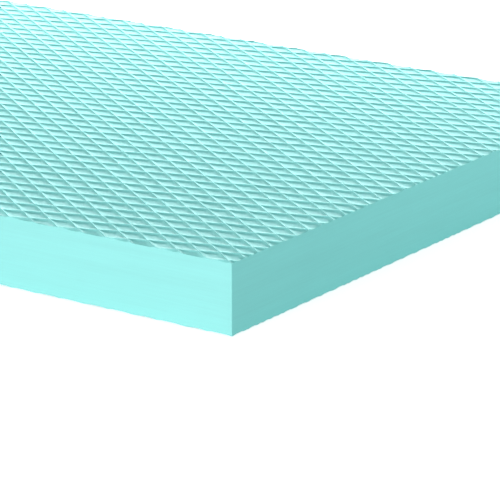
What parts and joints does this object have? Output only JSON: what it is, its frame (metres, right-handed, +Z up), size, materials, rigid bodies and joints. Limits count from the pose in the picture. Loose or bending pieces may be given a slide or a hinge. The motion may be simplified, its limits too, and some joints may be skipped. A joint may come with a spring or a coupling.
{
  "type": "xps insulation board",
  "caption": "Rectangular rigid foam insulation board with straight butt edges and a diamond waffle pattern embossed on its large faces.",
  "frame": {"origin": "middle of the underside, on the surface the board lies on", "axes": "+X along the board's length, +Y along its width, +Z up through its thickness"},
  "size_m": [1.25, 0.6, 0.06],
  "materials": {
    "xps_foam": "matt pale mint closed-cell foam, embossed faces and sawn edges"
  },
  "bodies": {
    "root": {"insulation_board": "xps_foam"}
  },
  "joints": []
}
